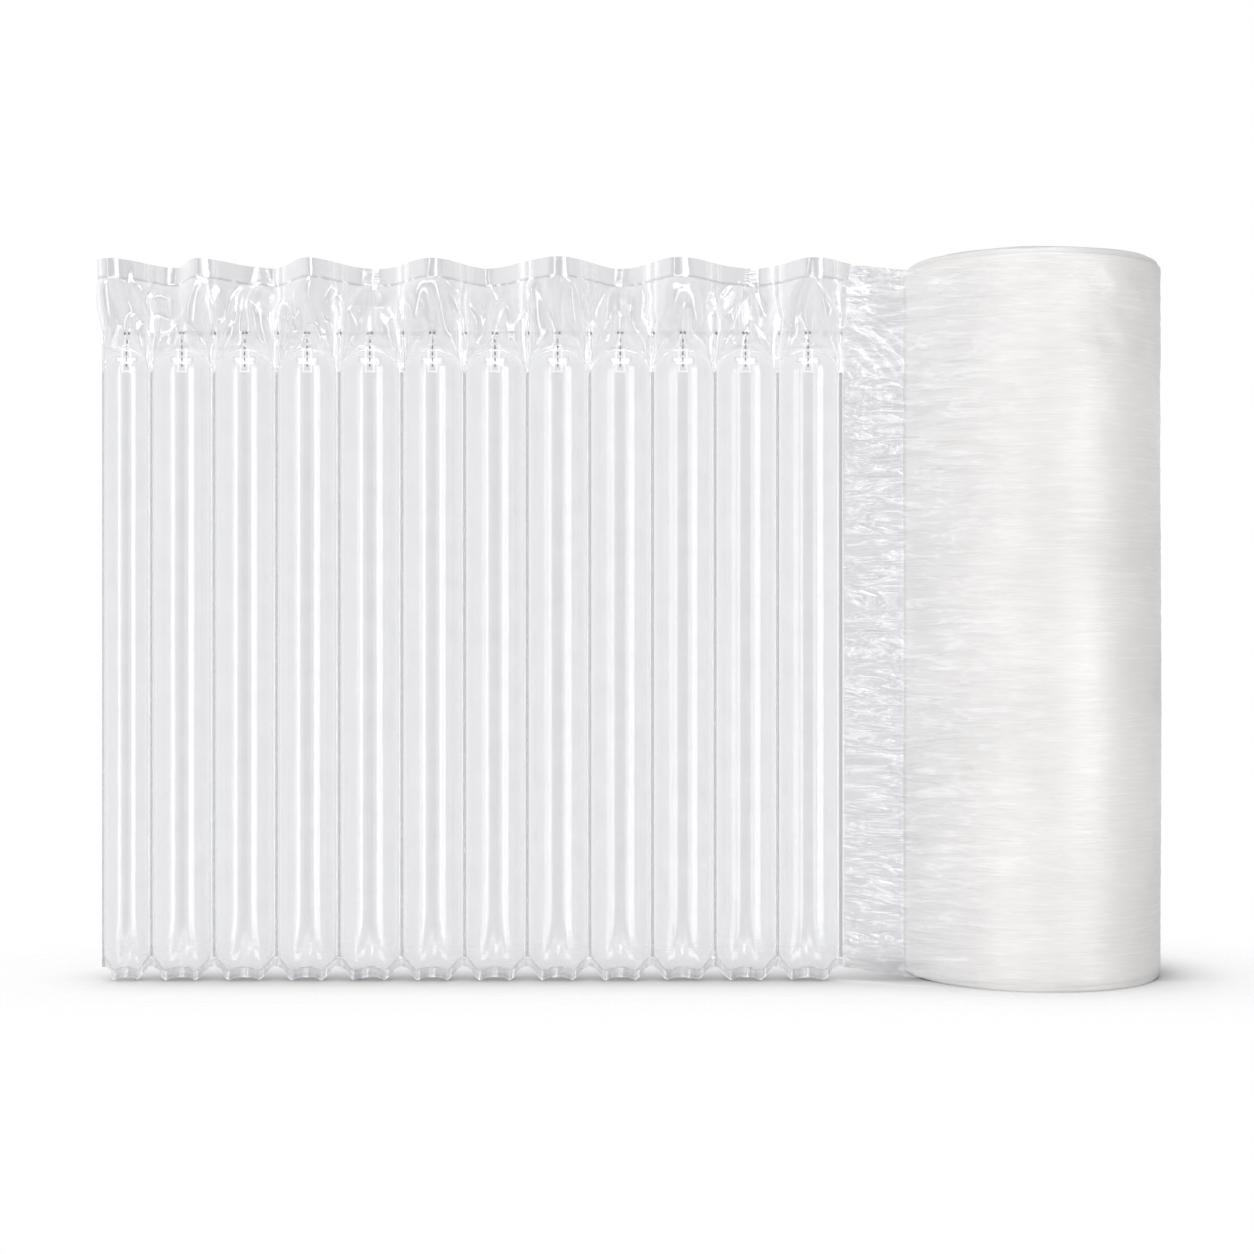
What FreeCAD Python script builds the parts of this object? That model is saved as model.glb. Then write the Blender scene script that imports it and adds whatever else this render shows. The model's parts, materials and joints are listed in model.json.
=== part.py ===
import FreeCAD, Part
import math
import os

# Air column roll: a roll of flat air column film on a paperboard core, standing on its end,
# with the first twelve columns unwound and inflated in a row.
# Millimetres, +Z up. The origin is on the roll's axis, at the floor. The lead runs towards -X,
# and -Y is the side that the lead leaves the roll from.

V = FreeCAD.Vector

# ---- driving dimensions ----
FILM_WIDTH = 400.0          # across the web, so the height of the standing roll and its core

CORE_BORE_RADIUS = 38.1     # the usual 76 mm (3 inch) bore
CORE_WALL = 4.9             # spiral-wound paperboard
ROLL_RADIUS = 72.3          # outermost turn of film
ROLL_CORNER = 4.5           # how far the soft ends of the turns round over

FILM_WALL = 0.4             # one outer film, far thicker than the real one so that it is a solid
VALVE_WALL = 0.2            # one valve film, thickened in the same way
WEB_PLANE = 30.0            # how far in front of the roll's axis the row of columns stands
FLAT_RUN = 90.3             # flat film between the last column and the roll
FLAT_LIFT = 4.7             # height of the lower edge of the flat film

COLUMN_COUNT = 12
COLUMN_RADIUS = 16.1        # an inflated column
END_COLUMN_RADIUS = 12.2    # the column at the cut end is slimmer
WELD_WIDTH = 2.45           # upright weld between two columns
EDGE_WELD = 1.2             # upright weld at the cut end

SEAM_NOTCH = 7.0            # height of the scalloped lower edge at an upright weld
COLUMN_FOOT = 8.0           # height of the bottom weld's upper edge
FOOT_TAPER = 19.0           # length over which a column flattens down to that weld
FOOT_THICKNESS = 1.3        # half thickness of the column where the weld begins

TOP_DROP = 3.2              # how far the hem's free edge stands below the roll's end, on average
TOP_WAVE = 2.2              # how far that edge rises and falls
WAVE_LENGTH = 69.3          # from one crest of that edge to the next
HEM_FLAP = 10.0             # from the free edge down to the weld above the filling channel
CHANNEL_HEIGHT = 30.3       # from that weld down to the neck line under the channel
CHANNEL_DEPTH = 6.0         # half depth of the open filling channel
CHANNEL_TAPER = 20.0        # length over which it closes before the last upright weld
NECK_GAP = 8.0              # from the neck line down to the crown of the arched welds
ARCH_RISE = 11.9            # from the crown down to where an arch springs from the upright welds
DOME_FLANKS = 3             # straight flanks of the creased dome under the arch

VALVE_RISE = 2.0            # how far the valve films stand up into the filling channel
VALVE_COVER = 1.2           # how far they stop above the crown of the arched welds
TONGUE_WIDTH = 4.6          # a valve's duct, hanging into its column
TONGUE_LENGTH = 13.4
CROSSBAR_WIDTH = 13.4
CROSSBAR_HEIGHT = 3.3
CROSSBAR_DROP = 6.1         # from the foot of the valve films down to the middle of the crossbar

# ---- worked out from them ----
CORE_RADIUS = CORE_BORE_RADIUS + CORE_WALL
WEB_WALL = 2 * FILM_WALL                 # the two outer films together
WEB_RADIUS = ROLL_RADIUS - FILM_WALL     # middle of the two films on the outermost turn
TOP_EDGE = FILM_WIDTH - TOP_DROP
HEM_LINE = TOP_EDGE - HEM_FLAP
NECK_LINE = HEM_LINE - CHANNEL_HEIGHT
ARCH_CROWN = NECK_LINE - NECK_GAP
ARCH_SPRING = ARCH_CROWN - ARCH_RISE
VALVE_FOOT = ARCH_CROWN + VALVE_COVER
BIG = 4 * FILM_WIDTH + 4 * COLUMN_COUNT * COLUMN_RADIUS   # longer than anything in the model

# The middle line of the flat film is a tangent of the outermost turn.
LAST_SEAM = -math.sqrt(WEB_RADIUS ** 2 + FLAT_RUN ** 2 - WEB_PLANE ** 2)
TURN_IN = math.atan2(-WEB_PLANE, LAST_SEAM) + math.acos(WEB_RADIUS / math.hypot(LAST_SEAM, WEB_PLANE))
LEAVING = V(math.cos(TURN_IN), math.sin(TURN_IN), 0)   # from the axis to where the film leaves


def column_list():
    """Middle and radius of every column, from the roll outwards."""
    columns = []
    seam = LAST_SEAM
    for number in range(COLUMN_COUNT):
        last = number == COLUMN_COUNT - 1
        radius = END_COLUMN_RADIUS if last else COLUMN_RADIUS
        middle = seam - WELD_WIDTH / 2 - radius
        columns.append((middle, radius))
        seam = middle - radius - WELD_WIDTH / 2
    return columns


COLUMNS = column_list()
CUT_END = COLUMNS[-1][0] - END_COLUMN_RADIUS - EDGE_WELD
SEAMS = [LAST_SEAM] + [middle - radius - WELD_WIDTH / 2 for middle, radius in COLUMNS[:-1]] + [CUT_END]


def box(x0, x1, y0, y1, z0, z1):
    return Part.makeBox(x1 - x0, y1 - y0, z1 - z0, V(x0, y0, z0))


def prism(points, z0, z1):
    """Upright prism on a closed outline of (x, y) points."""
    outline = Part.makePolygon([V(x, y, z0) for x, y in points + points[:1]])
    return Part.Face(outline).extrude(V(0, 0, z1 - z0))


def web_layer(inner, outer, z0, z1):
    """One layer of the lead, between two distances in front of its middle line.

    It runs along the row of columns, turns at the last upright weld and ends on the roll."""
    row_side = V(0, -1, 0)
    mitre = (row_side + LEAVING) * (1 / (1 + row_side.dot(LEAVING)))
    start = V(CUT_END, -WEB_PLANE, 0)
    corner = V(LAST_SEAM, -WEB_PLANE, 0)
    end = LEAVING * WEB_RADIUS
    path = [(start, row_side), (corner, mitre), (end, LEAVING)]
    there = [point + side * outer for point, side in path]
    back = [point + side * inner for point, side in reversed(path)]
    return prism([(p.x, p.y) for p in there + back], z0, z1)


def lead_outline():
    """Slab through the whole lead in front view: scalloped foot, wavy top edge."""
    def at(x, z):
        return V(x, -BIG / 2, z)

    edges = []
    for right, left in zip(SEAMS[:-1], SEAMS[1:]):
        scallop = Part.Arc(at(right, SEAM_NOTCH), at((right + left) / 2, 0), at(left, SEAM_NOTCH))
        edges.append(scallop.toShape())
    quarters = 4 * round((LAST_SEAM - CUT_END) / WAVE_LENGTH)
    quarter = (LAST_SEAM - CUT_END) / quarters
    crest = [
        at(CUT_END + i * quarter, TOP_EDGE + TOP_WAVE * math.cos(i * math.pi / 2))
        for i in range(quarters + 1)
    ]
    wave = Part.BSplineCurve()
    wave.interpolate(crest)
    edges.append(Part.makeLine(at(CUT_END, SEAM_NOTCH), crest[0]))
    edges.append(wave.toShape())
    corners = [crest[-1], at(0, crest[-1].z), at(0, FLAT_LIFT), at(LAST_SEAM, FLAT_LIFT), at(LAST_SEAM, SEAM_NOTCH)]
    for a, b in zip(corners[:-1], corners[1:]):
        edges.append(Part.makeLine(a, b))
    outline = Part.Wire(Part.__sortEdges__(edges))
    return Part.Face(outline).extrude(V(0, BIG, 0))


def column_body(radius, wall):
    """One inflated column about the Z axis: round along its length, domed under the arched weld,
    and flattened from front and back to the bottom weld. With a wall it is the air inside."""
    side = radius - wall
    foot = COLUMN_FOOT + wall
    rise = ARCH_RISE - wall
    turns = [math.pi / 2 * i / DOME_FLANKS for i in range(DOME_FLANKS)]
    dome = [V(side * math.cos(turn), 0, ARCH_SPRING + rise * math.sin(turn)) for turn in turns]
    apex = V(0, 0, ARCH_CROWN - wall)
    low = V(0, 0, foot)
    profile = Part.makePolygon([low, V(side, 0, foot)] + dome + [apex, low])
    barrel = Part.Face(profile).revolve(V(0, 0, 0), V(0, 0, 1), 360)
    return barrel.common(foot_taper(side, foot, FOOT_THICKNESS - wall))


def foot_taper(side, foot, thin):
    """Slab that is as thick as a column and draws in to the bottom weld on two smooth arcs."""
    def at(y, z):
        return V(-BIG / 2, y, z)

    draw_in = side - thin
    bend = (draw_in ** 2 + FOOT_TAPER ** 2) / (2 * draw_in)
    half_turn = math.atan2(FOOT_TAPER, bend - draw_in) / 2
    full = foot + FOOT_TAPER
    waist = side - bend * (1 - math.cos(half_turn))
    waist_height = full - bend * math.sin(half_turn)
    edges = [
        Part.makeLine(at(-side, BIG), at(side, BIG)),
        Part.makeLine(at(side, BIG), at(side, full)),
        Part.Arc(at(side, full), at(waist, waist_height), at(thin, foot)).toShape(),
        Part.makeLine(at(thin, foot), at(-thin, foot)),
        Part.Arc(at(-thin, foot), at(-waist, waist_height), at(-side, full)).toShape(),
        Part.makeLine(at(-side, full), at(-side, BIG)),
    ]
    return Part.Face(Part.Wire(edges)).extrude(V(BIG, 0, 0))


def column_bodies(wall):
    """All the inflated columns, or with a wall the air inside them, each standing in its place."""
    patterns = {radius: column_body(radius, wall) for radius in (COLUMN_RADIUS, END_COLUMN_RADIUS)}
    return [patterns[radius].translated(V(middle, -WEB_PLANE, 0)) for middle, radius in COLUMNS]


def channel_body(wall):
    """The filling channel: a lens in section, open at the cut end, drawn in to nothing where the
    flat film begins. With a wall it is the space inside."""
    middle = (NECK_LINE + HEM_LINE) / 2
    half_height = (HEM_LINE - NECK_LINE) / 2
    bend = (half_height ** 2 + CHANNEL_DEPTH ** 2) / (2 * CHANNEL_DEPTH)
    depth = CHANNEL_DEPTH - wall
    half = math.sqrt((bend - wall) ** 2 - (bend - CHANNEL_DEPTH) ** 2)
    open_end = CUT_END - 10 * wall
    closed_end = LAST_SEAM - CHANNEL_TAPER * wall / CHANNEL_DEPTH
    narrowing = closed_end - CHANNEL_TAPER * depth / CHANNEL_DEPTH

    def bow(side):
        ends = [V(open_end, -WEB_PLANE, middle + z) for z in (-half, half)]
        return Part.Arc(ends[0], V(open_end, side * depth - WEB_PLANE, middle), ends[1]).toShape()

    lens = Part.Face(Part.Wire([bow(-1), bow(1)])).extrude(V(closed_end - open_end, 0, 0))
    near, far = -WEB_PLANE - depth, -WEB_PLANE + depth
    plan = [(open_end, near), (narrowing, near), (closed_end, -WEB_PLANE), (narrowing, far), (open_end, far)]
    return lens.common(prism(plan, NECK_LINE, HEM_LINE))


def valve_film(side):
    """A valve film: a strip along the neck line with a cross-shaped tongue in every column."""
    inner, outer = sorted((0.0, side * VALVE_WALL))
    strip = web_layer(inner, outer, VALVE_FOOT, NECK_LINE + VALVE_RISE)
    y0, y1 = sorted((-WEB_PLANE, -WEB_PLANE - side * VALVE_WALL))
    bar = VALVE_FOOT - CROSSBAR_DROP - CROSSBAR_HEIGHT / 2
    tongues = []
    for middle, radius in COLUMNS:
        for width, low, high in (
            (TONGUE_WIDTH, VALVE_FOOT - TONGUE_LENGTH, NECK_LINE),
            (CROSSBAR_WIDTH, bar, bar + CROSSBAR_HEIGHT),
        ):
            tongues.append(box(middle - width / 2, middle + width / 2, y0, y1, low, high))
    return strip.fuse(tongues).removeSplitter()


def outer_film(side, valve):
    """One of the two outer films of the lead: side 1 is in front, -1 behind."""
    inner, outer = sorted((0.0, side * FILM_WALL))
    sheet = web_layer(inner, outer, -BIG / 2, BIG / 2).common(lead_outline())
    if side > 0:
        half_space = box(-BIG, BIG, -BIG, -WEB_PLANE, -BIG, BIG)
    else:
        half_space = box(-BIG, BIG, -WEB_PLANE, BIG, -BIG, BIG)
    swells = [swell.common(half_space) for swell in column_bodies(0.0) + [channel_body(0.0)]]
    hollows = column_bodies(FILM_WALL) + [channel_body(FILM_WALL)]
    return sheet.fuse(swells).cut(hollows + [valve]).removeSplitter()


def spiral_face():
    """Section of the outermost turn: four quarter arcs that end one web's thickness lower.

    Their centres step round a small square, so that each arc runs on smoothly from the last."""
    step = WEB_WALL / 4
    centre = V(0, 0, 0)
    radius = ROLL_RADIUS
    out, ahead = LEAVING, V(-LEAVING.y, LEAVING.x, 0)
    points = [centre + out * radius]
    edges = []
    for _ in range(4):
        halfway = centre + (out + ahead) * (math.sqrt(0.5) * radius)
        points.append(centre + ahead * radius)
        edges.append(Part.Arc(points[-2], halfway, points[-1]).toShape())
        centre = centre + ahead * step
        radius = radius - step
        out, ahead = ahead, out * -1
    edges.append(Part.makeLine(points[-1], points[0]))
    return Part.Face(Part.Wire(edges))


def film_roll():
    """All the wound turns as one solid, with the step where the lead leaves."""
    turns = spiral_face().extrude(V(0, 0, FILM_WIDTH))
    corner, flank = ROLL_CORNER, ROLL_CORNER * (1 - math.sqrt(0.5))
    lower = [(0, 0), (ROLL_RADIUS - corner, 0), (ROLL_RADIUS - flank, flank), (ROLL_RADIUS, corner)]
    upper = [(r, FILM_WIDTH - z) for r, z in reversed(lower)]
    outline = Part.makePolygon([V(r, 0, z) for r, z in lower + upper + lower[:1]])
    rounded = Part.Face(outline).revolve(V(0, 0, 0), V(0, 0, 1), 360)
    bore = Part.makeCylinder(CORE_RADIUS, FILM_WIDTH)
    return turns.common(rounded).cut(bore)


def core_tube():
    """Paperboard tube that the film is wound on."""
    outside = Part.makeCylinder(CORE_RADIUS, FILM_WIDTH)
    return outside.cut(Part.makeCylinder(CORE_BORE_RADIUS, FILM_WIDTH))


front_valve = valve_film(1)
back_valve = valve_film(-1)
PARTS = {
    "core_tube": core_tube(),
    "film_roll": film_roll(),
    "front_film": outer_film(1, front_valve),
    "back_film": outer_film(-1, back_valve),
    "front_valve_film": front_valve,
    "back_valve_film": back_valve,
}

os.makedirs("parts", exist_ok=True)
for name, shape in PARTS.items():
    shape.exportStep(os.path.join("parts", name + ".step"))
    print(name, shape.isValid(), len(shape.Solids), round(shape.Volume, 1), shape.BoundBox)
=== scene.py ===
import json
import math
import random

import bmesh
import bpy
import numpy as np
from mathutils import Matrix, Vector, noise
from mathutils.geometry import delaunay_2d_cdt


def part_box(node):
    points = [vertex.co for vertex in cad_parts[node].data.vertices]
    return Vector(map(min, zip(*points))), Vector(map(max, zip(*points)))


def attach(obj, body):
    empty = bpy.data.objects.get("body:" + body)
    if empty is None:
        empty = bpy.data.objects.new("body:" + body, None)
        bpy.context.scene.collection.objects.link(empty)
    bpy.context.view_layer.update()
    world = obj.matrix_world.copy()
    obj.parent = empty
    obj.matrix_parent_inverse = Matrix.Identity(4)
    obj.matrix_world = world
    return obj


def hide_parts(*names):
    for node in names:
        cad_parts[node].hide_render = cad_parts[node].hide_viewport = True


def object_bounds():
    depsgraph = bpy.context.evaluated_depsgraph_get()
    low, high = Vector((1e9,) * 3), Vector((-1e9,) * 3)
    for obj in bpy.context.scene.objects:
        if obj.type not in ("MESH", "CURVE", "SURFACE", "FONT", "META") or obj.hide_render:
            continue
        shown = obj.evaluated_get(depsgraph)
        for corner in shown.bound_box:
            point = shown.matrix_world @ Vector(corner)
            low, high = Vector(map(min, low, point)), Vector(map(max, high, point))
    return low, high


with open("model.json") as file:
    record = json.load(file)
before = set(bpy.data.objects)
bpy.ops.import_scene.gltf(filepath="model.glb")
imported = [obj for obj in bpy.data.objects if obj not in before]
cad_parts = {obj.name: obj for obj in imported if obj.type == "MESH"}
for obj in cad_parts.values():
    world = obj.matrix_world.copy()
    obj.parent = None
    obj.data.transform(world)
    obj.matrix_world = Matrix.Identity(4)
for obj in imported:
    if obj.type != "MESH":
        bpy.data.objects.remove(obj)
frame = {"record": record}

cad_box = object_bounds()


# ---------------------------------------------------------------- core tube
# A tube of kraft board, wound from glued strips on a slant and sawn to the width of the film.
# The film is wound on it; only its ends and its bore are ever seen.

CORE_EDGE = 0.0006            # the saw cut's edge is knocked off this much
CORE_TURN_STEPS = 96
BOARD = (0.46, 0.34, 0.22, 1)
BOARD_DARK = (0.33, 0.23, 0.14, 1)
STRIP_WIDTH = 0.11            # one paper strip, measured along the tube
STRIP_JOINT = 0.008           # width of the joint between two strips, as a share of a strip
RIM_ANGLE = 1                 # edges sharper than this many radians are the tube's rims


def place(tree, kind, inputs=None, **settings):
    """Adds a shader node. An input is a plain value or the output socket that feeds it."""
    made = tree.nodes.new(kind)
    for name, value in settings.items():
        setattr(made, name, value)
    for name, value in (inputs or {}).items():
        if isinstance(value, bpy.types.NodeSocket):
            tree.links.new(value, made.inputs[name])
        else:
            made.inputs[name].default_value = value
    return made


def sums(tree, operation, *values):
    """Output socket of a Math node."""
    return place(tree, "ShaderNodeMath", dict(enumerate(values)), operation=operation).outputs[0]


def times(tree, first, second):
    return sums(tree, "MULTIPLY", first, second)


def most(tree, *values):
    """Output socket of the greatest of some values."""
    greatest = values[0]
    for value in values[1:]:
        greatest = sums(tree, "MAXIMUM", greatest, value)
    return greatest


def apart(tree, first, second):
    """Output socket of how far two values are apart."""
    return sums(tree, "ABSOLUTE", sums(tree, "SUBTRACT", first, second))


def between(tree, value, low, high, from_low=0.0, from_high=1.0):
    """Output socket that carries value from one range to another and stops at its ends."""
    return place(tree, "ShaderNodeMapRange", {
        "Value": value, "From Min": from_low, "From Max": from_high, "To Min": low, "To Max": high,
    }).outputs["Result"]


def blend_colour(tree, share, first, second):
    """Output socket of a colour mix."""
    mix = place(tree, "ShaderNodeMix", {"Factor": share}, data_type="RGBA")
    for socket, colour in ((mix.inputs[6], first), (mix.inputs[7], second)):
        if isinstance(colour, bpy.types.NodeSocket):
            tree.links.new(colour, socket)
        else:
            socket.default_value = colour
    return mix.outputs[2]


def grain(tree, spot, scale, detail):
    """Output socket of a noise, from 0 to 1."""
    return place(tree, "ShaderNodeTexNoise", {"Vector": spot, "Scale": scale, "Detail": detail}).outputs[0]


def relief(tree, height, strength, distance, over=None):
    """Output socket of the normal of a surface with a relief, if need be over another relief."""
    made = place(tree, "ShaderNodeBump", {"Strength": strength, "Distance": distance, "Height": height})
    if over is not None:
        tree.links.new(over, made.inputs["Normal"])
    return made.outputs[0]


def spot_on_piece(tree):
    """Output socket of the place in metres, and the outputs of its X, Y and Z."""
    spot = place(tree, "ShaderNodeTexCoord").outputs["Object"]
    return spot, place(tree, "ShaderNodeSeparateXYZ", {0: spot}).outputs


def finish(name, **principled):
    """New material. Gives it, its node tree and its Principled node, set to plain values."""
    material = bpy.data.materials.new(name)
    material.use_nodes = True
    tree = material.node_tree
    surface = tree.nodes["Principled BSDF"]
    for socket, value in principled.items():
        surface.inputs[socket.replace("_", " ")].default_value = value
    return material, tree, surface


def feed(tree, surface, **sockets):
    """Links output sockets to the inputs of a material's surface."""
    for name, source in sockets.items():
        tree.links.new(source, surface.inputs[name.replace("_", " ")])


def piece_from(name, bm, material, smooth=True):
    """Object from a bmesh, with one material."""
    mesh = bpy.data.meshes.new(name)
    bm.to_mesh(mesh)
    bm.free()
    mesh.materials.append(material)
    for polygon in mesh.polygons:
        polygon.use_smooth = smooth
    piece = bpy.data.objects.new(name, mesh)
    bpy.context.scene.collection.objects.link(piece)
    return piece


def board_material():
    material, tree, surface = finish("core_board", Roughness=0.85, Specular_IOR_Level=0.25)
    spot, axes = spot_on_piece(tree)
    turn = sums(tree, "DIVIDE", sums(tree, "ARCTAN2", axes["Y"], axes["X"]), 2 * math.pi)
    climb = sums(tree, "FRACT", sums(tree, "ADD", turn, sums(tree, "DIVIDE", axes["Z"], STRIP_WIDTH)))
    joint = between(tree, apart(tree, climb, 0.5), 1.0, 0.0, 0.0, STRIP_JOINT)
    fibre = grain(tree, spot, 900.0, 5.0)
    mottle = grain(tree, spot, 60.0, 3.0)
    tone = sums(tree, "ADD", times(tree, fibre, 0.5), times(tree, mottle, 0.5))
    tone = most(tree, between(tree, tone, 0.0, 1.0, 0.35, 0.65), joint)
    normal = relief(tree, sums(tree, "SUBTRACT", fibre, joint), 0.5, 0.0003)
    feed(tree, surface, Base_Color=blend_colour(tree, tone, BOARD, BOARD_DARK), Normal=normal)
    return material


def ring_profile(bm, points, steps):
    """Closed ring of revolution about the Z axis from an outline of (radius, height) points."""
    rim = [bm.verts.new((r, 0, z)) for r, z in points]
    edges = [bm.edges.new((a, b)) for a, b in zip(rim, rim[1:] + rim[:1])]
    bmesh.ops.spin(bm, geom=rim + edges, cent=(0, 0, 0), axis=(0, 0, 1), angle=2 * math.pi, steps=steps,
                   use_merge=True)
    bmesh.ops.recalc_face_normals(bm, faces=bm.faces)


core_low, core_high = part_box("core_tube")
core_radius = core_high.x
core_bore = frame["record"]["mounts"][0]["dims"]["r_mm"] / 1000

bm = bmesh.new()
ring_profile(bm, [(core_bore, core_low.z), (core_radius, core_low.z), (core_radius, core_high.z),
                  (core_bore, core_high.z)], CORE_TURN_STEPS)
rims = [edge for edge in bm.edges if edge.calc_face_angle(0) > RIM_ANGLE]
bmesh.ops.bevel(bm, geom=rims, offset=CORE_EDGE, segments=2, profile=0.5, affect="EDGES", material=-1)
core_tube = piece_from("core_board_tube", bm, board_material())
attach(core_tube, "root")
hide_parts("core_tube")


# ---------------------------------------------------------------- wound film
# Some fifty metres of flat film wound on the core. The turns lie so close that they are milky,
# their edges stand a little uneven at the ends, and slack in the film shows as fine level wrinkles.

ROLL_TURN_STEPS = 220
ROLL_ROWS = 210
ROLL_CORNER = 0.0045          # the upper ends of the turns round over by this much
ROLL_FOOT_CORNER = 0.0018     # and the lower ends, on which the roll stands
END_RINGS = 26                # rings of turn edges across the end
OUTER_TURN_INSET = 0.0044     # the outermost turn stops this far inside the ends
OUTER_TURN_WANDER = 0.0006    # and its edge wanders by this much
OUTER_TURN_STEP = 0.0009
UNDERSIZE = 0.0006            # the roll is made this much smaller, which leaves room for its wrinkles
WRINKLE_DEPTH = 0.00022
LINE_DEPTH = 0.00008          # faint upright lines of the welds wound inside
SLACK_DEPTH = 0.0006
OVAL_DEPTH = 0.0022           # soft dents near the top, where the outer turns are slack
END_SINK = 0.0007             # the turn edges lie this far inside the ends
END_UNEVEN = (0.0011, 0.0008)  # and are uneven by this much, in bundles of turns and turn by turn
END_UNEVEN_STEPS = (420, 1500)
END_EASE = 0.004              # next to the core they are even
MILKY = (0.80, 0.785, 0.775, 1)
# the darker milky colour takes the roll's uneven tone and also its painted shade
MILKY_SHADE = (0.54, 0.535, 0.535, 1)


def level_wrinkles():
    """Node group: height of fine wrinkles that run level, long in one way and short in the other."""
    group = bpy.data.node_groups.new("level_wrinkles", "ShaderNodeTree")
    for socket, way, kind in (("Vector", "INPUT", "Vector"), ("Along", "INPUT", "Float"),
                              ("Across", "INPUT", "Float"), ("Height", "OUTPUT", "Float")):
        group.interface.new_socket(socket, in_out=way, socket_type="NodeSocket" + kind)
    given = group.nodes.new("NodeGroupInput")
    result = group.nodes.new("NodeGroupOutput")
    scale = place(group, "ShaderNodeCombineXYZ", {
        "X": given.outputs["Along"], "Y": given.outputs["Along"], "Z": given.outputs["Across"],
    })
    stretched = place(group, "ShaderNodeVectorMath", {0: given.outputs["Vector"], 1: scale.outputs[0]},
                      operation="MULTIPLY")
    fine = place(group, "ShaderNodeTexNoise", {
        "Vector": stretched.outputs[0], "Scale": 1.0, "Detail": 4.0, "Roughness": 0.55, "Distortion": 0.6,
    })
    height = between(group, apart(group, fine.outputs[0], 0.5), 1.0, 0.0, 0.0, 0.25)
    group.links.new(height, result.inputs["Height"])
    return group


wrinkles = level_wrinkles()


def wrinkled(tree, spot, along, across):
    """Output socket of the wrinkles' height; along and across are how many there are to a metre."""
    return place(tree, "ShaderNodeGroup", {"Vector": spot, "Along": along, "Across": across},
                 node_tree=wrinkles).outputs[0]


roll_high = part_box("film_roll")[1]
roll_radius = roll_high.x
roll_height = roll_high.z


def smooth(low, high, value):
    """0 below low, 1 above high and an even S between them."""
    share = min(1.0, max(0.0, (value - low) / (high - low)))
    return share * share * (3 - 2 * share)


def unevenness(x, y, z):
    """A noise from about -1 to 1 that belongs to a place."""
    return noise.noise(Vector((x, y, z)))


def roll_outline():
    """Half section of the wound turns: end, soft corner, outside, soft corner, end."""
    ring = (roll_radius - ROLL_CORNER - core_radius) / END_RINGS
    turn_edges = [(core_radius + i * ring, 0.0) for i in range(END_RINGS + 1)]

    def half(corner, steps):
        rounded = []
        for i in range(1, steps + 1):
            turn = i * math.pi / 2 / steps
            rounded.append((roll_radius - corner * (1 - math.sin(turn)), corner * (1 - math.cos(turn))))
        return turn_edges + rounded

    low, high = half(ROLL_FOOT_CORNER, 4), half(ROLL_CORNER, 14)
    tall = roll_height - ROLL_CORNER - ROLL_FOOT_CORNER
    side = [(roll_radius, ROLL_FOOT_CORNER + i * tall / ROLL_ROWS) for i in range(1, ROLL_ROWS)]
    return low + side + [(r, roll_height - z) for r, z in reversed(high)]


def relax_turns(point):
    """Where a point of the neat roll lies on the real one, with its wrinkles and uneven turn edges."""
    r = math.hypot(point.x, point.y)
    turn = math.atan2(point.y, point.x)
    out = Vector((point.x / r, point.y / r, 0))
    end = min(point.z, roll_height - point.z)
    moved = point.copy()
    if r > roll_radius - 1.2 * ROLL_CORNER:
        around = turn * roll_radius
        fine = unevenness(out.x * 1.6, out.y * 1.6, point.z * 420)
        finer = unevenness(out.x * 3.1, out.y * 3.1, point.z * 900 + 7)
        slack = unevenness(out.x * 1.3, out.y * 1.3, point.z * 9 + 3)
        ovals = unevenness(out.x * 3.4, out.y * 3.4, point.z * 75)
        ovals = max(0.0, ovals) * smooth(0.27, 0.36, point.z) * (1 - smooth(0.385, 0.393, point.z))
        lines = unevenness(around * 55, 2.0, point.z * 2.5)
        depth = WRINKLE_DEPTH * (fine + 0.6 * finer) + SLACK_DEPTH * slack
        depth += LINE_DEPTH * lines - OVAL_DEPTH * ovals
        inset = OUTER_TURN_INSET + OUTER_TURN_WANDER * unevenness(out.x * 2, out.y * 2, 5.0)
        if end < inset:
            depth -= OUTER_TURN_STEP
        moved -= out * (UNDERSIZE - depth)
    if end < 0.0001 or (end < ROLL_CORNER and r < roll_radius - 0.3 * ROLL_CORNER):
        uneven = END_UNEVEN[0] * unevenness(r * END_UNEVEN_STEPS[0], out.x * 0.8, out.y * 0.8)
        uneven += END_UNEVEN[1] * unevenness(r * END_UNEVEN_STEPS[1], out.x * 2.0, out.y * 2.0)
        share = min(1.0, (r - core_radius) / END_EASE)
        into = END_SINK * share + uneven * share
        moved.z += max(0.0, into) if point.z < roll_height / 2 else -max(0.0, into)
    return moved


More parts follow.
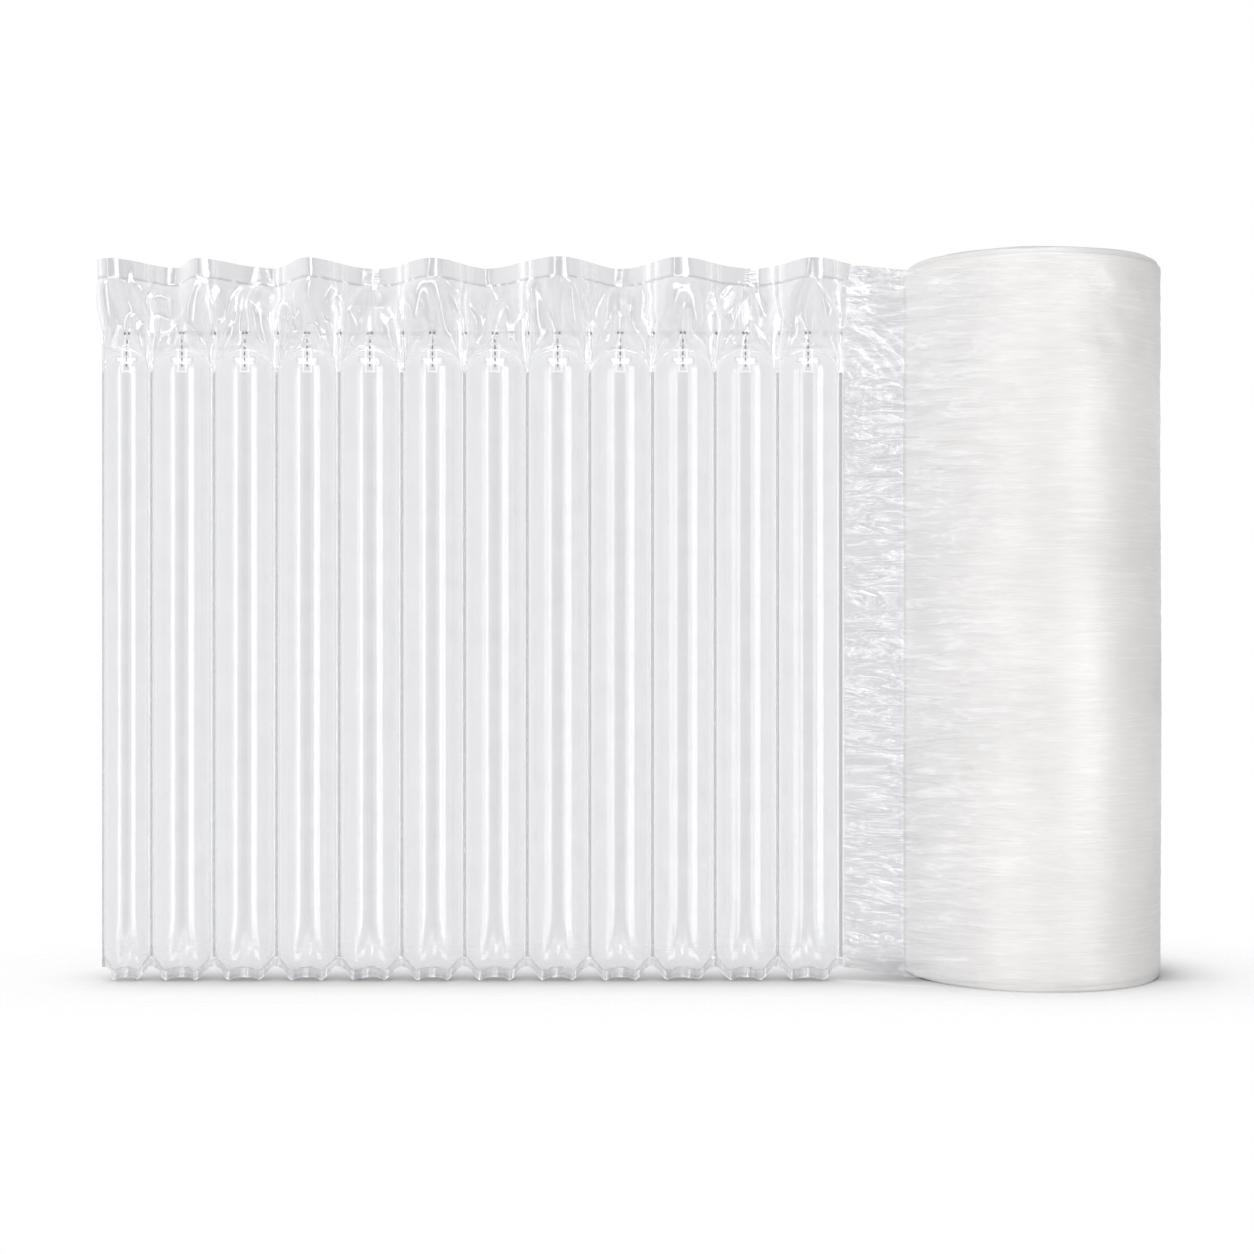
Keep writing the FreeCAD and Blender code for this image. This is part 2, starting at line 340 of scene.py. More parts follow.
def wound_material():
    material, tree, surface = finish("wound_film", IOR=1.4, Specular_IOR_Level=0.48)
    spot, axes = spot_on_piece(tree)
    fine = wrinkled(tree, spot, 26.0, 620.0)
    wide = wrinkled(tree, spot, 9.0, 150.0)
    clouds = grain(tree, spot, 14.0, 4.0)
    tone = between(tree, clouds, 0.0, 1.0, 0.35, 0.7)
    # painted shade: the fine wrinkles are drawn darker, as if shaded in their creases
    tone = sums(tree, "MULTIPLY_ADD", fine, 0.28, times(tree, tone, 0.35))
    # painted shade: the sides of the roll that turn away from the eye are drawn darker
    painted_edge_shade = place(tree, "ShaderNodeLayerWeight", {"Blend": 0.5}).outputs["Facing"]
    tone = sums(tree, "MULTIPLY_ADD", sums(tree, "POWER", painted_edge_shade, 2.5), 0.42, tone)
    inset = roll_height / 2 - OUTER_TURN_INSET
    bare = between(tree, apart(tree, axes["Z"], roll_height / 2), 0.0, 0.12, inset - 0.0003, inset)
    tone = sums(tree, "ADD", tone, bare)
    height = sums(tree, "MULTIPLY_ADD", wide, 0.6, times(tree, fine, 0.4))
    feed(tree, surface, Base_Color=blend_colour(tree, tone, MILKY, MILKY_SHADE),
         Normal=relief(tree, height, 0.6, 0.0005), Roughness=between(tree, clouds, 0.28, 0.45, 0.3, 0.7))
    return material


bm = bmesh.new()
ring_profile(bm, roll_outline(), ROLL_TURN_STEPS)
for vert in bm.verts:
    vert.co = relax_turns(vert.co)
wound = piece_from("wound_film_turns", bm, wound_material())
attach(wound, "root")
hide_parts("film_roll")


# ---------------------------------------------------------------- outer films of the lead
# Two webs of clear film, one in front and one behind, welded to each other between the columns,
# along the foot, along arches over the columns and below the hem. Air has drawn each column in
# to two thirds of its flat width, so the header above and the foot below are gathered.

COLUMN_COUNT = 12
WELD_WIDTH = 0.00245          # upright weld between two columns
EDGE_WELD = 0.0012            # upright weld at the cut end
END_COLUMN_RADIUS = 0.0122
FILM_GAP = 0.00012            # half of the space between the two films where they lie together
FOOT_NOTCH = 0.0070           # the foot's edge is drawn up this far at the upright welds
FOOT_DIP = 0.0019             # and this far in the middle of a column
FOOT_BAND = 0.0056            # height of the weld along the foot
FOOT_FULL = 0.0370            # height where a column has its full girth
FOOT_SQUARE = 2.7             # how square the foot of a column is, 2 for an even curve
FOOT_PLEAT = 0.0024           # depth of the pleats in the gathered foot
DOME_START = 0.3250           # above this a column begins to close
ARCH_SPRING = 0.3366          # height where the arches spring from the upright welds
ARCH_RISE = 0.0119
NECK_LINE = 0.3583            # the line of spot welds over the arches
HEM_LINE = 0.3868             # the weld over the filling channel
TOP_EDGE = 0.3968
NECK_PUFF = 0.0094            # how far each film stands off between two spot welds of the neck line
NECK_SPOT = 0.03              # half width of the spot weld over a column, as a share of the column
ARCH_CRINKLE = 0.0007         # depth of the fine crinkles along the arches
SLACK = 1.09                  # the header has sagged: its film is this much longer than its height
CRUMPLE = 0.0080              # how far the corners of the header's folds stand out
FOLDS_LOW = (0.363, 0.374)    # heights between which the lower and the upper corners lie
FOLDS_HIGH = (0.372, 0.382)
HEM_SWING = 0.021             # how far the gathered hem swings to front and back
# where the hem turns, in columns from the last upright weld: first a turn to the front, then
# one to the back, and so on
HEM_TURNS = (0.45, 1.35, 2.65, 3.5, 4.5, 5.75, 6.45, 7.5, 8.45, 9.2, 10.2, 10.75, 11.6)
HEM_SHARE = 0.9               # the hem weld swings this share of what the top edge does
WRAP_TURN = math.radians(50)  # how far the front film is followed onto the roll
WRAP_LIFT = 0.0010            # it lies this far outside the neat roll
COLUMN_STEPS = 34
WELD_STEPS = 2
FLAT_STEPS = 44
WRAP_STEPS = 16
FLAT_LIFT = 0.0046            # lower edge of the flat film above the floor
FLAT_TOP = 0.3905             # its upper edge where it meets the roll
# bands of rows from the floor up, and the rows in each
ROW_BANDS = (("foot", 4), ("toe", 15), ("shaft", 26), ("dome", 14), ("throat", 9), ("channel", 26),
             ("flap", 7))
SETTLE_ROUNDS = 70
SETTLE_AIR = 0.00004          # how far the air in the channel parts the films in the first round
# links from one point of the film to others, in stations and rows, and how firm they are
LINKS = (((1, 0), 1.0), ((0, 1), 1.0), ((1, 1), 0.6), ((1, -1), 0.6),
         ((2, 0), 0.3), ((0, 2), 0.3), ((4, 0), 0.15), ((0, 4), 0.15))
CREASE_SOFTENING = 5          # rounds that take out creases too fine for film this stiff

web_plane = frame["record"]["mounts"][2]["pos_m"][1]
cut_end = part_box("front_film")[0].x
column_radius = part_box("back_film")[1].y - web_plane
pitch = 2 * column_radius + WELD_WIDTH
last_seam = cut_end + EDGE_WELD + 2 * END_COLUMN_RADIUS + (COLUMN_COUNT - 1) * pitch + WELD_WIDTH
flat_run = math.sqrt(last_seam ** 2 + web_plane ** 2 - roll_radius ** 2)
turn_in = math.atan2(web_plane, last_seam) + math.acos(roll_radius / math.hypot(last_seam, web_plane))


def stations_along():
    """The lead in plan, station by station from the roll outwards.

    Each is (kind, column, share, flat distance), with share going from 0 to 1 over its stretch."""
    stations = []
    flat = 0.0

    def stretch(kind, column, length, steps):
        nonlocal flat
        stations.extend((kind, column, i / steps, flat + length * i / steps) for i in range(steps))
        flat += length

    stretch("wrap", -1, roll_radius * WRAP_TURN, WRAP_STEPS)
    stretch("flat", -1, flat_run, FLAT_STEPS)
    for column in range(COLUMN_COUNT):
        radius = END_COLUMN_RADIUS if column == COLUMN_COUNT - 1 else column_radius
        stretch("weld", column, WELD_WIDTH, WELD_STEPS)
        stretch("column", column, math.pi * radius, COLUMN_STEPS)
    stretch("edge", COLUMN_COUNT - 1, EDGE_WELD, 1)
    stations.append(("edge", COLUMN_COUNT - 1, 1.0, flat))
    return stations


STATIONS = stations_along()
film_length = STATIONS[-1][3]


class Lead:
    """First shape of both films as grids [station, row], before they settle.

    Over the air a film bulges and its stations follow the round column. Where it is gathered they
    stand evenly, and the folds carry the film's length."""

    def __init__(self):
        n = len(STATIONS)
        rows = sum(steps for _, steps in ROW_BANDS) + 1
        self.flat_along = np.array([s[3] for s in STATIONS])
        self.kind = np.array([s[0] for s in STATIONS])
        self.share = np.array([s[2] for s in STATIONS])
        self.even = np.zeros(n)
        self.round = np.zeros(n)
        self.girth = np.zeros(n)
        self.radius = np.full(n, column_radius)
        self.plan = np.zeros((n, 2))
        self.out = np.tile((0.0, -1.0), (n, 1))
        self.number = np.zeros(n)
        for i, (kind, column, share, _) in enumerate(STATIONS):
            self.lay_out(i, kind, column, share)
        self.z = np.zeros((n, rows))
        self.flat_up = np.zeros((n, rows))
        self.depth = np.zeros((n, rows))
        self.fold = np.zeros((n, rows))
        self.gather = np.zeros(rows)
        self.band = []
        j = 0
        for name, steps in ROW_BANDS:
            for k in range(steps + (name == "flap")):
                getattr(self, name)(j, k / steps)
                self.band.append(name)
                j += 1
        self.band = np.array(self.band)

    def lay_out(self, i, kind, column, share):
        """Plan position of one station."""
        if kind == "wrap":
            turn = turn_in + WRAP_TURN * (1 - share)
            self.out[i] = (math.cos(turn), math.sin(turn))
            self.plan[i] = self.out[i] * (roll_radius + WRAP_LIFT)
        elif kind == "flat":
            leaving = np.array((math.cos(turn_in), math.sin(turn_in)))
            seam = np.array((last_seam, web_plane))
            ahead = smooth(0.8, 1.0, share)
            self.plan[i] = leaving * (roll_radius + WRAP_LIFT) * (1 - share) + seam * share
            self.out[i] = leaving * (1 - ahead) + np.array((0, -1)) * ahead
        else:
            first = last_seam - column * pitch
            self.radius[i] = END_COLUMN_RADIUS if column == COLUMN_COUNT - 1 else column_radius
            self.plan[i, 1] = web_plane
            if kind == "weld":
                self.even[i] = self.round[i] = first - WELD_WIDTH * share
            elif kind == "column":
                middle = first - WELD_WIDTH - self.radius[i]
                self.even[i] = middle + self.radius[i] * (1 - 2 * share)
                self.round[i] = middle + self.radius[i] * math.cos(math.pi * share)
                self.girth[i] = math.sin(math.pi * share)
            else:
                self.even[i] = self.round[i] = cut_end + EDGE_WELD * (1 - share)
        x = self.plan[i, 0] if kind in ("wrap", "flat") else self.even[i]
        self.number[i] = (last_seam - x) / pitch

    # one method for each band of rows, from the floor up; w goes from 0 to 1 over the band

    def foot_edge(self):
        """Height of the foot's lower edge: two lobes under each column."""
        off = np.abs(2 * np.where(self.kind == "column", self.share, 0.0) - 1)
        off = np.where(np.isin(self.kind, ("weld", "edge")), 1.0, off)
        dip = FOOT_DIP * 0.5 * (1 + np.cos(np.pi * np.minimum(off / 0.52, 1)))
        rise = np.clip((off - 0.52) / 0.48, 0, 1)
        return dip + FOOT_NOTCH * (0.6 * rise + 0.4 * rise * rise * (3 - 2 * rise)) + 0.0004

    def foot(self, j, w):
        self.z[:, j] = self.foot_edge() + FOOT_BAND * w
        self.flat_up[:, j] = FOOT_BAND * w
        self.gather[j] = 1.0
        self.fold[:, j] = self.pleats() * (1 - 0.5 * w)

    def pleats(self):
        """Pleats of the gathered foot, three and a half to a column, none alike."""
        made = np.zeros(len(self.share))
        for i in np.nonzero(self.kind == "column")[0]:
            shift = 0.5 * unevenness(self.number[i] * 2.3, 4.0, 0)
            swing = math.sin(2 * math.pi * (3.5 * self.share[i] + shift))
            made[i] = FOOT_PLEAT * (1 - abs(1 - abs(swing)) ** 2) * math.copysign(1, swing)
            made[i] *= 1 + 0.8 * unevenness(self.number[i] * 5.1, 9.0, 0)
        return made

    def toe(self, j, w):
        turn = w * math.pi / 2
        low = self.foot_edge() + FOOT_BAND
        lift = 1 - math.cos(turn) ** (2 / FOOT_SQUARE)
        swell = math.sin(turn) ** (2 / FOOT_SQUARE)
        self.z[:, j] = low + (FOOT_FULL - low) * lift
        self.flat_up[:, j] = FOOT_BAND + (FOOT_FULL - FOOT_BAND) * w
        self.gather[j] = (1 - swell) ** 1.5
        crease = np.exp(-((self.share - 0.5) / 0.05) ** 2) * 0.5 * (1 - w) ** 1.5
        self.depth[:, j] = self.radius * self.girth ** (1 - 0.3 * (1 - w)) * swell * (1 - crease)
        self.fold[:, j] = self.pleats() * 0.5 * (1 - w) ** 2

    def shaft(self, j, w):
        self.z[:, j] = self.flat_up[:, j] = FOOT_FULL + (DOME_START - FOOT_FULL) * w
        self.depth[:, j] = self.radius * self.girth

    def arch(self):
        return ARCH_SPRING + ARCH_RISE * self.girth

    def dome(self, j, w):
        w = 1 - (1 - w) ** 1.6
        self.z[:, j] = DOME_START + (self.arch() - DOME_START) * w
        self.flat_up[:, j] = self.z[:, j]
        lift = np.maximum(self.z[:, j] - ARCH_SPRING, 0) / ARCH_RISE
        self.depth[:, j] = self.radius * np.sqrt(np.maximum(self.girth ** 2 - lift ** 2, 0))

    def throat(self, j, w):
        self.z[:, j] = self.arch() + (NECK_LINE - self.arch()) * w
        self.flat_up[:, j] = self.z[:, j]
        self.gather[j] = smooth(0, 1, w)
        cell = np.abs(np.sin(2 * np.pi * self.share)) * (self.kind == "column")
        self.depth[:, j] = NECK_PUFF * math.sin(math.pi / 2 * w) * cell
        crinkle = np.sin(2 * np.pi * 6.5 * self.share + self.number * 9) * (1.2 - self.girth)
        self.fold[:, j] = ARCH_CRINKLE * (1 - w) * crinkle * (self.kind == "column")

    def channel(self, j, w):
        self.z[:, j] = NECK_LINE + (HEM_LINE - NECK_LINE) * w
        self.flat_up[:, j] = NECK_LINE + (HEM_LINE - NECK_LINE) * w * SLACK
        self.gather[j] = 1.0
        cell = np.abs(np.sin(2 * np.pi * self.share)) * (self.kind == "column")
        self.depth[:, j] = NECK_PUFF * (1 - w) ** 0.6 * (cell * (1 - 0.6 * w) + 0.6 * w)
        self.fold[:, j] = self.swing() * w ** 0.85 * HEM_SHARE

    def flap(self, j, w):
        self.z[:, j] = HEM_LINE + (TOP_EDGE - HEM_LINE) * w
        self.flat_up[:, j] = NECK_LINE + (HEM_LINE - NECK_LINE) * SLACK + (TOP_EDGE - HEM_LINE) * w
        self.gather[j] = 1.0
        self.fold[:, j] = self.swing() * (HEM_SHARE + (1 - HEM_SHARE) * w)

    def swing(self):
        """How far the hem swings at each station, to the back where it is positive."""
        turns = (-0.6,) + HEM_TURNS + (12.4,)
        spans = [high - low for low, high in zip(turns[:-1], turns[1:])]
        reach = [min(spans[max(0, k - 1):k + 1]) for k in range(len(turns))]
        peaks = [(-1) ** k * HEM_SWING * min(1.0, 0.35 + 0.65 * r) for k, r in enumerate(reach)]
        made = np.zeros(len(self.number))
        for i, number in enumerate(self.number):
            for k, span in enumerate(spans):
                if turns[k] <= number <= turns[k + 1]:
                    ease = 0.5 - 0.5 * math.cos(math.pi * (number - turns[k]) / span)
                    made[i] = peaks[k] + (peaks[k + 1] - peaks[k]) * ease
        return made * np.array([smooth(-0.9, 0.3, number) for number in self.number])

    def points(self, side):
        """Grid of points of the front film (side 1) or the back film (side -1)."""
        grid = np.zeros(self.z.shape + (3,))
        columns = np.isin(self.kind, ("weld", "column", "edge"))
        x = self.round[:, None] * (1 - self.gather) + self.even[:, None] * self.gather
        grid[..., 0] = np.where(columns[:, None], x, self.plan[:, :1])
        grid[..., 1] = self.plan[:, 1:2]
        for axis in (0, 1):
            grid[..., axis] += self.out[:, None, axis] * (side * self.depth - self.fold)
        at_seam = self.z[np.nonzero(self.kind == "weld")[0][0]]
        flat_z = FLAT_LIFT + self.flat_up / self.flat_up[0, -1] * (FLAT_TOP - FLAT_LIFT)
        near = [smooth(0.55, 1.0, s) if k == "flat" else 0.0 for k, s in zip(self.kind, self.share)]
        near = np.array(near)[:, None]
        sagging = flat_z * (1 - near) + at_seam * near
        grid[..., 2] = np.where(columns[:, None], self.z, sagging)
        return grid


lead = Lead()


def fold_corners(film, lead):
    """Corners where the header's folds meet, on the flat film: (along, up, how far it stands out).

    Folds run from the spot welds of the neck line to the gathers of the hem, which both films share."""
    hem = NECK_LINE + (HEM_LINE - NECK_LINE) * SLACK
    top = hem + TOP_EDGE - HEM_LINE
    crown = ARCH_SPRING + ARCH_RISE
    shared, own = random.Random(11), random.Random(20 + film)
    first = lead.flat_along[lead.kind == "weld"][0]
    half = (math.pi * column_radius + WELD_WIDTH) / 2
    corners = []
    for k in range(2 * COLUMN_COUNT + 1):
        spot = first + WELD_WIDTH / 2 + k * half
        corners.append((spot, NECK_LINE, 0.0))
        corners.append((spot + 0.5 * half, NECK_LINE - 0.0008, 0.25))
        corners.append((spot + own.uniform(0.1, 0.4) * half, crown + 0.002, own.uniform(-0.3, 0.3)))
        corners.append((spot + own.uniform(0.6, 0.9) * half, crown + 0.004, own.uniform(-0.3, 0.3)))
        along = spot + own.uniform(0.2, 0.8) * half
        corners.append((along, own.uniform(*FOLDS_LOW), own.choice((-1, 1)) * own.uniform(0.5, 1)))
        if own.random() < 0.6:
            corners.append((spot + own.uniform(0, 1) * half, own.uniform(*FOLDS_HIGH), own.uniform(-1, 1)))
        for part in (0.0, 0.5):
            along = spot + (part + shared.uniform(0.05, 0.45)) * half
            out = shared.choice((-1, 1)) * shared.uniform(0.1, 0.35)
            corners.append((along, hem + 0.0004, out))
            corners.append((along + shared.uniform(-0.002, 0.002), top + 0.002, out * shared.uniform(0.5, 1)))
    return corners


def flat_places(lead):
    """Place of each point on the flat film: how far along and how far up."""
    return np.stack(np.broadcast_arrays(lead.flat_along[:, None], lead.flat_up), axis=-1)


def first_row(band, bands):
    """Number of a band's lowest row."""
    return int(np.nonzero(bands == band)[0][0])


def crumples(flat, lead):
    """How far the flat facets between the folds stand out, for each film."""
    dents = np.zeros((2,) + flat.shape[:2])
    for film in range(2):
        corners = fold_corners(film, lead)
        spots, _, faces = delaunay_2d_cdt([Vector(c[:2]) for c in corners], [], [], 0, 1e-7)[:3]
        stands = {(round(along, 6), round(up, 6)): out for along, up, out in corners}
        for face in faces:
            a, b, c = (np.array(spots[k]) for k in face)
            out = [stands.get((round(spots[k].x, 6), round(spots[k].y, 6)), 0.0) for k in face]
            ab, ac, to = b - a, c - a, flat - a
            area = ab[0] * ac[1] - ac[0] * ab[1]
            v = (to[..., 0] * ac[1] - ac[0] * to[..., 1]) / area
            w = (ab[0] * to[..., 1] - to[..., 0] * ab[1]) / area
            inside = (v >= 0) & (w >= 0) & (v + w <= 1)
            dents[film][inside] = (out[0] + (out[1] - out[0]) * v + (out[2] - out[0]) * w)[inside]
    return CRUMPLE * dents


def grips(lead, bands):
    """Two masks over [station, row] of the header: where it is held, and where both films are one."""
    upright = np.isin(lead.kind, ("weld", "edge"))
    channel, hem = first_row("channel", bands), first_row("flap", bands)
    over_column = (lead.kind == "column") & (np.abs(lead.share - 0.5) < NECK_SPOT)
    spots = upright | over_column
    together = np.zeros((len(lead.kind), len(bands)), bool)
    together[np.ix_(upright, bands == "throat")] = True
    together[np.isin(lead.kind, ("wrap", "flat"))] = True
    together[:, hem:] = True
    together[spots, channel] = True
    held = np.zeros_like(together)
    held[:, 0] = True
    held[lead.kind == "wrap"] = True
    held[(lead.kind == "flat") & (lead.share < 0.6)] = True
    held[spots, channel] = True
    held[:, hem:] = True
    held[lead.kind == "edge"] = True
    return held, together


def pull_links(films, flat, step, firm):
    """Draws the ends of all links of one kind towards their flat length.

    A link over more than one cell only keeps its ends from coming closer."""
    di, dj = step
    n, m = flat.shape[:2]
    rows = slice(max(0, -dj), m - max(0, dj))
    rows_on = slice(rows.start + dj, rows.stop + dj)
    rest = np.linalg.norm(flat[di:, rows_on] - flat[:n - di, rows], axis=-1)
    for phase in range(2):
        if di:
            pick = np.array([i for i in range(n - di) if (i // di) % 2 == phase])
            a, b = (slice(None), pick, rows), (slice(None), pick + di, rows_on)
            want = rest[pick]
        else:
            pick = np.array([j for j in range(m - dj) if (j // dj) % 2 == phase])
            a, b = (slice(None), slice(None), pick), (slice(None), slice(None), pick + dj)
            want = rest[:, pick]
        across = films[b] - films[a]
        length = np.maximum(np.linalg.norm(across, axis=-1), 1e-9)
        pull = firm * 0.5 * (1 - want / length)[..., None] * across
        if max(abs(di), abs(dj)) > 1:
            pull = np.where((length < want)[..., None], pull, 0)
        films[a] = films[a] + pull
        films[b] = films[b] - pull


def settle(front, back, lead):
    """Lets the gathered header of both films find its folds: each cell of film keeps its flat size,
    the welds hold the films together and a little air stands in the channel."""
    first = first_row("throat", lead.band)
    bands = lead.band[first:]
    flat = flat_places(lead)[:, first:]
    films = np.stack((front, back))[:, :, first:].copy()
    held, together = grips(lead, bands)
    pin = films.copy()
    free = ~held
    airy = (bands == "channel")[None, :] & ~together & free
    films[..., 1] += crumples(flat, lead) * (airy + ((bands == "throat")[None, :] & ~together & free))
    for turn in range(SETTLE_ROUNDS):
        for step, firm in LINKS:
            pull_links(films, flat, step, firm)
        lift = np.where(airy, SETTLE_AIR * (1 - turn / SETTLE_ROUNDS), 0)
        films[0, ..., 1] -= lift
        films[1, ..., 1] += lift
        middle = films.mean(axis=0)
        films[:, together] = middle[together]
        crossed = (films[0, ..., 1] > films[1, ..., 1]) & free
        films[:, crossed, 1] = middle[crossed, 1]
        films[:, held] = pin[:, held]
    for _ in range(CREASE_SOFTENING):
        soft = films.copy()
        soft[:, 1:-1, 1:-1] = 0.25 * (films[:, :-2, 1:-1] + films[:, 2:, 1:-1]
                                      + films[:, 1:-1, :-2] + films[:, 1:-1, 2:])
        films[:, free & ~together] = (0.4 * films + 0.6 * soft)[:, free & ~together]
    front[:, first:], back[:, first:] = films[0], films[1]


front_points = lead.points(1)
back_points = lead.points(-1)
settle(front_points, back_points, lead)


FACET_SHARE = 0.8             # how much of the folds' sharp edges is put back after settling
FACET_START = 0.33            # the edges begin this high over the foot
FACET_EASE = 0.012
RIPPLE_DEPTH = 0.0010
# the fans of creases in the flat film start at the last upright weld: height, reach and number
CREASE_FANS = ((0.3583, 0.080, 22), (0.3366, 0.055, 18), (0.3868, 0.060, 14), (0.0110, 0.055, 10))


def ripple_flat(front, back, lead):
    """Creases of the flat film: fans from the ends of the welds and fine level wrinkles."""
    for i in np.nonzero(lead.kind == "flat")[0]:
        away = flat_run * (1 - lead.share[i])
        near = smooth(0.0, 0.10, 1 - lead.share[i]) * smooth(0.0, 0.12, lead.share[i])
        for j in range(front.shape[1]):
            z = front[i, j, 2]
            depth = 0.0
            for height, reach, rays in CREASE_FANS:
                far = math.hypot(away, z - height)
                angle = math.atan2(z - height, away)
                bend = unevenness(angle * 3, far * 22, height * 50)
                ridge = (1 - abs(math.sin(rays * angle / 2 + 2.5 * bend))) ** 4
                finer = (1 - abs(math.sin(rays * angle + 4.0 * bend + 1))) ** 4
                level_off = max(0.0, away / far) ** 1.5
                fan = (ridge + 0.4 * finer - 0.3) * math.exp(-far / reach)
                depth += fan * (1.2 + 2 * bend) * level_off
            level = 1 - abs(unevenness(away * 24, z * 150, 3.0)) * 2.4
            tilted = 1 - abs(unevenness(away * 60 + z * 30, z * 90, 6.0)) * 2.4
            middle = smooth(0.17, 0.26, z) * (1 - 0.5 * smooth(0.0, 0.08, away))
            broad = unevenness(away * 16, z * 11, 8.0)
            depth += (0.5 * level + 0.3 * tilted) * middle + 0.08 * broad
            depth *= 1 - 0.6 * smooth(0.04, 0.07, away)
            move = RIPPLE_DEPTH * depth * near
            for axis in (0, 1):
                front[i, j, axis] += lead.out[i, axis] * move
                back[i, j, axis] += lead.out[i, axis] * move


ripple_flat(front_points, back_points, lead)


def crease_header(front, back, lead):
    """Puts the sharp edges of the facets into the settled header."""
    dents = crumples(flat_places(lead), lead) * FACET_SHARE
    rows = np.isin(lead.band, ("throat", "channel", "flap"))
    keep = np.clip((lead.z - lead.z[:, :1] - FACET_START) / FACET_EASE, 0, 1) * rows
    keep = keep * ~np.isin(lead.kind, ("wrap", "flat"))[:, None]
    front[..., 1] += dents[0] * keep
    back[..., 1] += np.where(lead.band == "flap", dents[0], dents[1]) * keep


crease_header(front_points, back_points, lead)


def part_films(front, back, lead):
    """Keeps the two films a hair apart where they lie on each other."""
    for axis in (0, 1):
        front[..., axis] += lead.out[:, None, axis] * FILM_GAP
        back[..., axis] -= lead.out[:, None, axis] * FILM_GAP


part_films(front_points, back_points, lead)


def milkiness(kind, share):
    """1 where the film lies on or close before the roll and looks as milky as the roll, 0 elsewhere."""
    if kind == "flat":
        return 1 - smooth(0.57, 0.605, share)
    return float(kind == "wrap")


def presence(kind, share, skip):
    """1 where a film shows. The front one fades out on the roll, the back one where it meets it."""
    if kind == "wrap":
        return smooth(0.05, 0.95, share)
    if kind == "flat" and skip:
        return smooth(0.0, 0.35, share)
    return 1.0


def seam_shade(kind, band, at_hem):
    """How much darker the film looks on its upright welds, at the hem and where it is gathered."""
    if kind == "flat":
        return 0.4
    if at_hem:
        return 0.9
    if band in ("channel", "flap"):
        return 0.25
    return float(kind in ("weld", "edge") and band != "throat")


def creasing(kind, band):
    """1 in the header, less in the throat and the flat film, 0 on the taut columns."""
    if kind in ("flat", "wrap"):
        return 0.6
    return {"channel": 1.0, "flap": 1.0, "throat": 0.5}.get(band, 0.0)


FILM_LAYERS = ("weld", "seam", "milky", "present", "creased")   # values stored on the points


def film_piece(name, points, material, skip=0):
    """Film as a grid of cells with the flat film's own size as its UV map."""
    n, m = points.shape[:2]
    hem_row = first_row("flap", lead.band)
    bm = bmesh.new()
    bmesh.ops.create_grid(bm, x_segments=n - 1, y_segments=m - 1, size=1)
    values = bm.verts.layers.float
    weld, seam, milky, present, creased = (values.new(layer) for layer in FILM_LAYERS)
    flat_place = bm.verts.layers.float_vector.new("flat_place")
    flat_map = bm.loops.layers.uv.new("film")
    where = {}
    for vert in bm.verts:
        i, j = round((vert.co.x + 1) / 2 * (n - 1)), round((vert.co.y + 1) / 2 * (m - 1))
        kind, share, band = lead.kind[i], lead.share[i], lead.band[j]
        where[vert] = (i, j)
        vert[flat_place] = (lead.flat_along[i], lead.flat_up[i, j], 0)
        # the "weld" values hold the white welds and the painted glints beside them
        vert[weld] = white_weld_and_glint[i, j]
        vert[seam] = seam_shade(kind, band, j == hem_row)
        vert[milky] = milkiness(kind, share)
        vert[present] = presence(kind, share, skip)
        vert[creased] = creasing(kind, band)
    for face in bm.faces:
        for loop in face.loops:
            i, j = where[loop.vert]
            loop[flat_map].uv = (lead.flat_along[i] / film_length, lead.flat_up[i, j] / roll_height)
    for vert, (i, j) in where.items():
        vert.co = points[i, j]
    bmesh.ops.delete(bm, geom=[v for v, (i, j) in where.items() if i < skip], context="VERTS")
    return piece_from(name, bm, material)


def welds_and_painted_glints(lead):
    """1 on the weld lines that show white and on the painted glints beside the upright welds and along the
    foot's edges, 0 off them.
    """
    bands = lead.band
    arch_row, hem_row, toe_row = (first_row(band, bands) for band in ("throat", "flap", "toe"))
    columns, welds, flat = (lead.kind == kind for kind in ("column", "weld", "flat"))
    row = columns | welds
    # painted highlight: the steep sides of a column next to its upright welds are drawn as a white glint
    beside = np.clip(1.3 - 11 * np.minimum(lead.share, 1 - lead.share), 0, 1) * columns
    strength = np.repeat(0.9 * beside[:, None], len(bands), axis=1)
    strength[columns, arch_row] = 1.0
    strength[np.ix_(welds, bands == "throat")] = 0.4
    for i in np.nonzero(columns)[0]:
        strength[i, hem_row] = smooth(0.1, 0.25, unevenness(lead.number[i] * 9, 3.0, 0))
    strength[flat, hem_row] = 0.45 * np.clip(lead.share[flat] * 1.4 - 0.3, 0, 1)
    strength[np.ix_(row, bands == "foot")] = 0.45
    # the top of the foot's weld band and its lower edge: white weld lines with a painted highlight along them
    strength[row, toe_row] = 1.0
    strength[row, 0] = 1.0
    return strength


white_weld_and_glint = welds_and_painted_glints(lead)

FILM_TINT = (0.60, 0.60, 0.64, 1)
# the darker film colour serves the welds, the film lying double, and the painted shade and reflection
FILM_SHADE = (0.30, 0.30, 0.34, 1)
WELD_AND_GLINT_WHITE = (0.95, 0.95, 0.97, 1)
FILM_MILKY = (0.74, 0.735, 0.74, 1)
FILM_BODY = 0.27              # how solid one film looks
FILM_SHADED = 0.22            # and how much more where it is shaded
VEIL = 0.2                    # how solid it looks on the milky roll
LIGHT_STOPPED = 0.3           # share of its body that keeps light from what lies behind
FOOT_SHADE = (0.006, 0.022)   # but all of it does up to the first height, and less up to the second


def stored(tree, name, output="Fac"):
    """Output socket of a value stored on the points of a piece."""
    return place(tree, "ShaderNodeAttribute", attribute_name=name).outputs[output]


